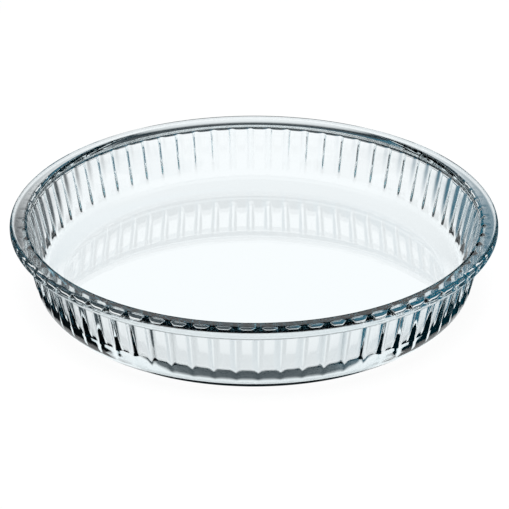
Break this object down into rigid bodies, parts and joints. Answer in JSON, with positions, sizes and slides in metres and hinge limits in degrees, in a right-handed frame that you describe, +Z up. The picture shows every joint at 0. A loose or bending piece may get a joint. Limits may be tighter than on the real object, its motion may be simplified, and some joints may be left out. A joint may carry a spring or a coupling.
{
  "type": "pie dish",
  "caption": "Round clear pressed-glass pie dish with a flat floor, an outward-leaning wall fluted on the outside and a thick rounded overhanging rim.",
  "frame": {"origin": "centre of the resting face, on the surface that the dish stands on", "axes": "+Z up along the dish's axis, out of its open mouth"},
  "size_m": [0.28, 0.28, 0.0475],
  "materials": {
    "clear_glass": "polished, clear with a faint blue-green tint in the thick edges"
  },
  "bodies": {
    "root": {"floor_disc": "clear_glass", "heel_ring": "clear_glass", "fluted_wall": "clear_glass", "rim_ring": "clear_glass"}
  },
  "joints": []
}
